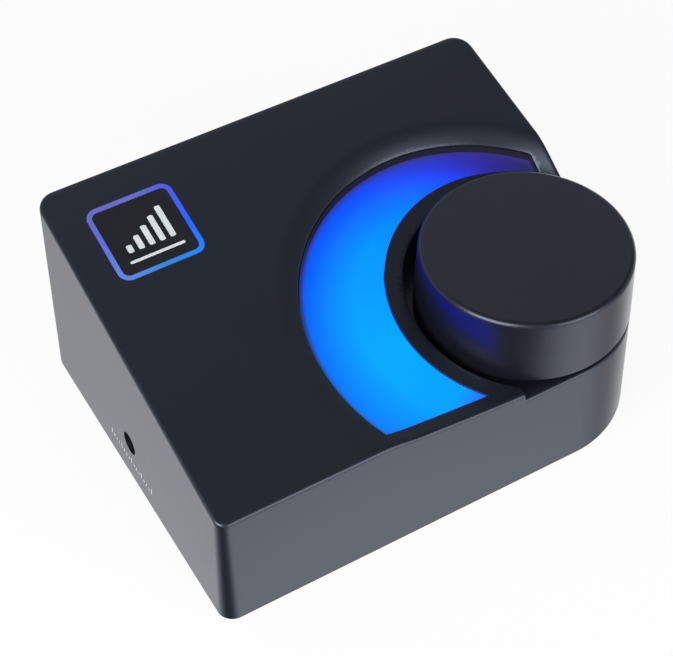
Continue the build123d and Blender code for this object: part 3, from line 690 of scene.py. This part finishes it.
def makeHousing():
    bm = bmesh.new()
    radius = case["edgeRadius"]
    # sloping top with the dish
    rings = [ringInside(i, topHeight) for i in shell["topRings"]]
    blendRings = []
    for step in range(-shell["blendRings"], shell["blendRings"] + 1):
        blendRings += circle(left + case["lensX"], front + case["lensY"],
                             case["lensRadius"] + step * shell["ringStep"], shell["ringPoints"])
    hole = [Vector((p.x, badgeY + p.y * slopeCos)) for p in roundedBox(badgeX, 0, *badgeHole)]
    well = wellOutline()
    wellBevel, inWellBevel = shell["wellBevel"]
    lensBevel, inLensBevel = shell["lensBevel"]
    loops = rings + [well, wellOutline(wellBevel), crescent(), crescent(-lensBevel), hole]
    loose = [p for p in blendRings + gridPoints(left, right, front, back, shell["grid"])
             if insetAt(p.x, p.y, topHeight(p.x, p.y)) > shell["gridInset"]]

    def keepTop(x, y):
        return (insetAt(x, y, topHeight(x, y) - radius) > 0 and not inWell(x, y) and not inCrescent(x, y)
                and not inBadge(x, y))

    def liftTop(x, y):
        z = topHeight(x, y)
        if inCrescent(x, y, -inLensBevel) or inWell(x, y, inWellBevel):
            z -= shell["bevelDrop"]
        return Vector((x, y, rounded(z, x, y)))

    top = addPanel(bm, loops, loose, keepTop, liftTop)

    # floor of the well, with the hole for the encoder's bush
    def fromKnob(x, y):
        return math.hypot(x - knobX, y - knobY)

    reach = shell["floorReach"]
    floor = addPanel(
        bm, [ringInside(i, lambda x, y: case["wellFloor"]) for i in shell["floorRings"]]
        + [well, circle(knobX, knobY, case["bushHole"], shell["bushSteps"])],
        [p for p in gridPoints(knobX - reach, knobX + reach, knobY - reach, knobY + reach, shell["floorGrid"])
         if insetAt(p.x, p.y, case["wellFloor"]) > shell["floorInset"]],
        lambda x, y: (insetAt(x, y, case["wellFloor"] - radius) > 0 and inWell(x, y)
                      and fromKnob(x, y) > case["bushHole"]),
        lambda x, y: Vector((x, y, rounded(case["wellFloor"], x, y))))
    # sides of the well, and of the openings for the bush, the lens and the badge
    into = lowered(shell["openingDepth"])
    addSkirt(bm, rim(top, lambda p: nearWell(p) and not atWall(p)), [toFloor])
    addSkirt(bm, rim(floor, lambda p: fromKnob(p.x, p.y) < case["bushHole"] + 1), [into])
    addSkirt(bm, rim(top, lambda p: inCrescent(p.x, p.y, -inLensBevel) and not atWall(p)), [into])
    addSkirt(bm, rim(top, lambda p: math.hypot(p.x - badgeX, p.y - badgeY) < badge["reach"]), [into])

    # walls: the rear and left ones have openings, so their flat stretches are panels of their own
    def flatRear(p):
        return p.y > back - shell["flatReach"] and abs(p.x) < right - case["backCorner"]

    def flatLeft(p):
        return p.x < left + shell["flatReach"] and front + case["leftCorner"] < p.y < back - case["backCorner"]

    addSkirt(bm, rim(floor, atWall), [onWall(None), onWall(case["standOff"])])
    edges = rim(top, atWall)
    rearEdges = [e for e in edges if flatRear(middleOf(e))]
    leftEdges = [e for e in edges if flatLeft(middleOf(e))]
    plain = [e for e in edges if e not in rearEdges and e not in leftEdges]
    addSkirt(bm, plain, [onWall(None), onWall(floorEdge), onWall(floorEdge - shell["band"]),
                         onWall(case["standOff"])])
    addWallPanel(bm, rearEdges, 0, lambda x, z: Vector((x, back - (z - case["standOff"]) * draft, z)),
                 [recessOutline], inRecess, lambda p: Vector((p.x, back - rear["recess"], p.z)))
    auxY = front + aux["y"]
    addWallPanel(bm, leftEdges, 1, lambda y, z: Vector((left + (z - case["standOff"]) * draft, y, z)),
                 [circle(auxY, aux["z"], aux["hole"] + extra, shell["holeSteps"]) for extra in (0.0, aux["ring"])],
                 lambda y, z: math.hypot(y - auxY, z - aux["z"]) < aux["hole"],
                 lambda p: p + Vector((aux["depth"], 0, 0)))
    # floor of the rear recess, with the socket holes
    jacks = [(left + x, z) for x, z in rear["jacks"]]
    recess = addPanel(
        bm, [recessOutline, powerOutline]
        + [circle(x, z, rear["jackHole"], shell["holeSteps"]) for x, z in jacks], [],
        lambda x, z: (inRecess(x, z) and not inPower(x, z)
                      and all(math.hypot(x - jx, z - jz) > rear["jackHole"] for jx, jz in jacks)),
        lambda x, z: Vector((x, back - rear["recess"], z)))

    def atOpening(p):
        offsets = (p.x - left - rear["centre"][0], p.z - rear["centre"][1])
        return all(abs(v) < size / 2 - rear["inner"] for v, size in zip(offsets, rear["size"]))

    addSkirt(bm, rim(recess, atOpening), [lambda p: p - Vector((0, rear["depth"], 0))])
    bmesh.ops.remove_doubles(bm, verts=bm.verts, dist=1e-3)
    # lower edge of the walls, and their inner faces down to the base cover
    bottom = rim(bm.faces, lambda p: abs(p.z - case["standOff"]) < 1e-3)

    def inner(height):
        def level(p):
            n = wallNormal(p)
            return Vector((p.x - n.x * case["wall"], p.y - n.y * case["wall"], height))
        return level

    addSkirt(bm, bottom, [inner(case["standOff"]), inner(shell["innerTop"])])
    piece = finishMesh(bm, "housing_shell", finishes["sparkErodedAbs"], "case")
    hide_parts("housing")
    return piece


def addWallPanel(bm, edges, axis, lift, loops, inHole, into):
    # a flat wall below its top edges, with holes whose sides run to where into() puts their points
    tops = {}
    for edge in edges:
        for vert in edge.verts:
            tops[round(vert.co[axis], 5)] = (vert.co[axis], vert.co.z)
    line = [Vector(tops[key]) for key in sorted(tops)]
    first, last = line[0], line[-1]
    bottomZ, band = case["standOff"], shell["band"]
    border = line + [Vector((last.x, z)) for z in (last.y - band, floorEdge, floorEdge - band)]
    border += [Vector((p.x, bottomZ)) for p in reversed(line)]
    border += [Vector((first.x, z)) for z in (floorEdge - band, floorEdge, first.y - band)]
    below = [Vector((p.x, p.y - band)) for p in line[1:-1]]

    def keep(u, z):
        if inHole(u, z) or not first.x < u < last.x or z < bottomZ:
            return False
        return z < heightAt(u)

    def heightAt(u):
        for a, b in zip(line, line[1:]):
            if a.x <= u <= b.x:
                return a.y + (b.y - a.y) * (u - a.x) / (b.x - a.x)
        return bottomZ

    faces = addPanel(bm, [border] + loops, below, keep, lift)

    def atHole(p):
        return any(inHole(p[axis] + du, p.z + dz) for du, dz in ((0.1, 0), (-0.1, 0), (0, 0.1), (0, -0.1)))

    addSkirt(bm, rim(faces, atHole), [into])


housingShell = makeHousing()
print("housing shell:", len(housingShell.data.polygons), "faces")

# ---- lens

lens = {
    "gap": 0.15, "ledge": 0.15, "wallRun": 0.12, "sink": 1.25, "ease": 8.0, "thickness": 2.4,
    "edge": 0.15, "edgeLine": 0.4,     # its rounded edge, and where a line runs along it as a part of its width
    # the edge's two steps: up to which part of its width, and how far down as a part of it
    "edgeSteps": ((0.3, 1.0), (0.8, 0.2)),
    # lines inside the sunk wall: the first one's distance, and how many there are
    "firstLine": 0.3, "lines": 13, "pointInset": 0.5, "hair": 0.001,
}


def lensInside(x, y):
    # how far a point lies inside the outer arc and the right-hand end
    outer = case["lensRadius"] - math.hypot(x - left - case["lensX"], y - front - case["lensY"])
    return min(outer, left + case["lensRight"] - x) - lens["gap"]


def lensHeight(x, y):
    # the lit face lies below its rim at the outer arc, and comes level with the housing beside the knob
    inside = lensInside(x, y) - lens["ledge"]
    wall = min(max(inside / lens["wallRun"], 0.0), 1.0)
    t = min(max(inside / lens["ease"], 0.0), 1.0)
    return topHeight(x, y) - lens["sink"] * wall * (1 - t * t * (3 - 2 * t))


def makeLens():
    bm = bmesh.new()
    edge = lens["gap"] + lens["edge"]
    loops = [crescent(lens["gap"]), crescent(lens["gap"] + lens["edge"] * lens["edgeLine"]), crescent(edge)]
    foot = lens["gap"] + lens["ledge"] + lens["wallRun"]
    firstLine = foot + lens["firstLine"]
    loops += [sunkOutline(inset) for inset in (lens["gap"] + lens["ledge"] + lens["hair"], foot, firstLine)]
    loose = []
    for step in range(1, lens["lines"] + 1):
        loose += sunkOutline(firstLine + step * shell["ringStep"])
    loose += gridPoints(left, right, front, back, shell["grid"])
    loose = [p for p in loose if inCrescent(p.x, p.y, foot + lens["pointInset"])]

    def lift(x, y):
        z = lensHeight(x, y)
        for width, drop in lens["edgeSteps"]:
            if not inCrescent(x, y, lens["gap"] + lens["edge"] * width):
                z -= lens["edge"] * drop
                break
        return Vector((x, y, z))

    faces = addPanel(bm, loops, loose, lambda x, y: inCrescent(x, y, lens["gap"]), lift)
    addSkirt(bm, rim(faces, lambda p: True), [lowered(lens["thickness"])])
    piece = finishMesh(bm, "lens_crescent", finishes["opalPolycarbonate"], "case")
    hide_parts("ring_lens")
    return piece


lensPiece = makeLens()
print("lens:", len(lensPiece.data.polygons), "faces")

# ---- switch dome

dome = {
    "low": 18.65, "high": 19.55, "foot": 3.4, "top": 1.6, "innerFoot": 2.9, "innerTop": 1.4, "sheet": 0.15,
    "steps": 48,
    "pushed": 0.41,     # how far it flattens when the knob is pushed in
}


def makeDome():
    # the sprung steel cup under the press plate: rings from its inner top round the foot to its outer top
    bm = bmesh.new()
    profile = [(dome["innerTop"], dome["high"] - dome["sheet"]), (dome["innerFoot"], dome["low"]),
               (dome["foot"], dome["low"]), (dome["top"], dome["high"])]
    rings = [[bm.verts.new((p.x, p.y, z)) for p in circle(knobX, knobY, r, dome["steps"])] for r, z in profile]
    for a, b in zip(rings, rings[1:]):
        for i in range(len(a)):
            j = (i + 1) % len(a)
            bm.faces.new((a[i], a[j], b[j], b[i]))
    bm.faces.new(rings[0])
    bm.faces.new(rings[-1])
    piece = finishMesh(bm, "switch_dome_cup", finishes["rolledSteel"], "case")
    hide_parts("switch_dome")
    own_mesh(piece)


makeDome()
print("switch dome ready")

# ---- printed marks

marks = {
    # level bars on the badge's plate, which lies a little below the top, and a line under them
    "plateDrop": 0.15, "bars": (2.0, 3.6, 5.2, 6.8, 8.4), "barWidth": 1.3, "barStep": 2.4, "barBase": -3.6,
    "barCorner": 0.4, "lineLength": 12.6, "lineWidth": 0.7, "linePlace": -5.8, "lineCorner": 0.34,
    # a row of ticks below the side socket: every fourth one is taller
    "ticks": 17, "tickStep": 1.2, "tickWidth": 0.38, "tickHeight": 1.0, "tickY": 42.8, "tickZ": 6.4,
    "tallEvery": 4, "tall": 1.7, "tickCorner": 0.1,
    "ink": 0.03,     # how far print stands proud
}


def addMark(bm, outline, lift):
    faces = addPanel(bm, [outline], [], lambda u, v: True, lift)
    bmesh.ops.reverse_faces(bm, faces=faces)


def onPlate(u, v):
    # a point of the print on the badge's plate, from its place across and up the slope
    y = badgeY + v * slopeCos
    top = case["standOff"] + case["frontHeight"] - marks["plateDrop"] + marks["ink"]
    return Vector((u, y, top + (y - front) * math.tan(math.radians(case["topSlope"]))))


def makeBars():
    # rising bars printed on the dark plate of the badge
    bm = bmesh.new()
    for i, height in enumerate(marks["bars"]):
        x = badgeX + (i - (len(marks["bars"]) - 1) / 2) * marks["barStep"]
        middle = marks["barBase"] + height / 2
        addMark(bm, roundedBox(x, middle, marks["barWidth"], height, marks["barCorner"]), onPlate)
    addMark(bm, roundedBox(badgeX, marks["linePlace"], marks["lineLength"], marks["lineWidth"], marks["lineCorner"]),
            onPlate)
    finishMesh(bm, "badge_bars", finishes["badgeInk"], "case")


def makeTicks():
    # a short printed scale low on the left wall
    bm = bmesh.new()
    for i in range(marks["ticks"]):
        y = front + marks["tickY"] + (i - (marks["ticks"] - 1) / 2) * marks["tickStep"]
        height = marks["tickHeight"] * (marks["tall"] if i % marks["tallEvery"] == 0 else 1.0)
        addMark(bm, roundedBox(y, marks["tickZ"] + height / 2, marks["tickWidth"], height, marks["tickCorner"]),
                lambda u, v: Vector((left + (v - case["standOff"]) * draft - marks["ink"], u, v)))
    finishMesh(bm, "side_ticks", finishes["screenInk"], "case")


makeBars()
makeTicks()
print("printed marks ready")

# ---- room

room = {
    "floor": "#f8f8f8", "floorSize": 4000, "floorRoughness": 0.9, "floorSpecular": 0.2,
    # how much of what the eye sees of the table is plain white
    "whiteSeen": 0.92,
    # brightness of the sky straight up and near the horizon, what its back adds, and the directions where each begins
    # and ends
    "skyLight": 0.15, "horizonLight": 0.55, "backLight": 0.24, "skyFade": (0.1, 0.45), "backFade": (0.24, 0.5),
    # brightness that gloss sees below the horizon, by bearing: degrees to the right of straight ahead of the front
    # wall, and the directions between which it takes over
    "below": {-180: 0.75, -165: 0.8, -153: 1.35, -133: 1.35, -100: 0.5, -90: 0.3, -72: 0.05, -48: 0.08, -23: 0.2,
              2: 1.1, 22: 1.45, 36: 1.35, 45: 1.1, 66: 0.5, 85: 0.6, 108: 1.35, 135: 1.55, 180: 0.75},
    "belowFade": (0.0, -0.1),
    # name: place, aim, size, watts
    "lamps": {
        "keySoftbox": ((-850, -420, 620), (0, 0, 20), 800, 13.5),
        "frontSoftbox": ((330, -950, 420), (0, 0, 20), 700, 5.0),
    },
}


def makeRoom():
    scene = bpy.context.scene
    size = room["floorSize"] * mm / 2
    mesh = bpy.data.meshes.new("floor")
    mesh.from_pydata([(-size, -size, 0), (size, -size, 0), (size, size, 0), (-size, size, 0)], [], [(0, 1, 2, 3)])
    floor = bpy.data.objects.new("floor", mesh)
    scene.collection.objects.link(floor)
    material, tree, output = newMaterial("paintedTable")
    paint = addNode(tree, "BsdfPrincipled", {"Base Color": linear(room["floor"]), "Roughness": room["floorRoughness"],
                                             "Specular IOR Level": room["floorSpecular"]})
    # the table shows almost white to the eye and keeps a trace of the shadow, and gloss sees through it to the room
    path = addNode(tree, "LightPath")
    through = addNode(tree, "Math", {"operation": "MAXIMUM"},
                      {0: path.outputs["Is Camera Ray"], 1: path.outputs["Is Transmission Ray"]})
    seen = addNode(tree, "Math", {"operation": "MULTIPLY", 1: room["whiteSeen"]}, {0: through.outputs[0]})
    white = addNode(tree, "Emission", {"Color": (1, 1, 1, 1), "Strength": 1.0})
    mix = addNode(tree, "MixShader", links={0: seen.outputs[0], 1: paint.outputs["BSDF"], 2: white.outputs[0]})
    clear = addNode(tree, "BsdfTransparent")
    table = addNode(tree, "MixShader", links={0: path.outputs["Is Glossy Ray"], 1: mix.outputs[0],
                                              2: clear.outputs[0]})
    tree.links.new(table.outputs[0], output.inputs["Surface"])
    mesh.materials.append(material)
    for name, (place, aim, side, watts) in room["lamps"].items():
        data = bpy.data.lights.new(name, "AREA")
        data.shape = "SQUARE"
        data.size = side * mm
        data.energy = watts
        lamp = bpy.data.objects.new(name, data)
        lamp.location = Vector(place) * mm
        lamp.rotation_euler = (Vector(aim) - Vector(place)).to_track_quat("-Z", "Y").to_euler()
        scene.collection.objects.link(lamp)
    world = bpy.data.worlds.new("sky")
    world.use_nodes = True
    scene.world = world
    tree = world.node_tree
    tree.nodes.clear()
    path = addNode(tree, "LightPath")
    # above the horizon it is brighter near the horizon and towards the back
    toward = addNode(tree, "SeparateXYZ", links={0: addNode(tree, "TexCoord").outputs["Generated"]})

    def between(limits, direction, low=0.0, high=1.0):
        # runs from low to high as the direction goes from one limit to the other
        return addNode(tree, "MapRange", {"From Min": limits[0], "From Max": limits[1],
                                          "To Min": low, "To Max": high}, {"Value": direction})

    fade = between(room["skyFade"], toward.outputs["Z"], room["horizonLight"], room["skyLight"])
    behind = between(room["backFade"], toward.outputs["Y"], high=room["backLight"])
    light = addNode(tree, "Math", {"operation": "ADD"}, {0: fade.outputs["Result"], 1: behind.outputs["Result"]})
    ahead = addNode(tree, "Math", {"operation": "MULTIPLY", 1: -1.0}, {0: toward.outputs["Y"]})
    bearing = addNode(tree, "Math", {"operation": "ARCTAN2"}, {0: toward.outputs["X"], 1: ahead.outputs[0]})
    around = between((-math.pi, math.pi), bearing.outputs[0])
    brightest = max(room["below"].values())
    ring = addNode(tree, "ValToRGB", links={"Fac": around.outputs["Result"]})
    fillRamp(ring, [((turn + 180) / 360, seen / brightest) for turn, seen in room["below"].items()])
    below = addNode(tree, "Math", {"operation": "MULTIPLY", 1: brightest}, {0: ring.outputs["Color"]})
    under = between(room["belowFade"], toward.outputs["Z"])
    strength = addNode(tree, "Mix", links={"Factor": under.outputs["Result"], 2: light.outputs[0],
                                           3: below.outputs[0]})
    sky = addNode(tree, "Background", {"Color": (1, 1, 1, 1)}, {"Strength": strength.outputs[0]})
    seen = addNode(tree, "Background", {"Color": (1, 1, 1, 1), "Strength": 1.0})
    mix = addNode(tree, "MixShader", links={0: path.outputs["Is Camera Ray"], 1: sky.outputs[0], 2: seen.outputs[0]})
    output = addNode(tree, "OutputWorld")
    tree.links.new(mix.outputs[0], output.inputs["Surface"])


makeRoom()
print("room ready")
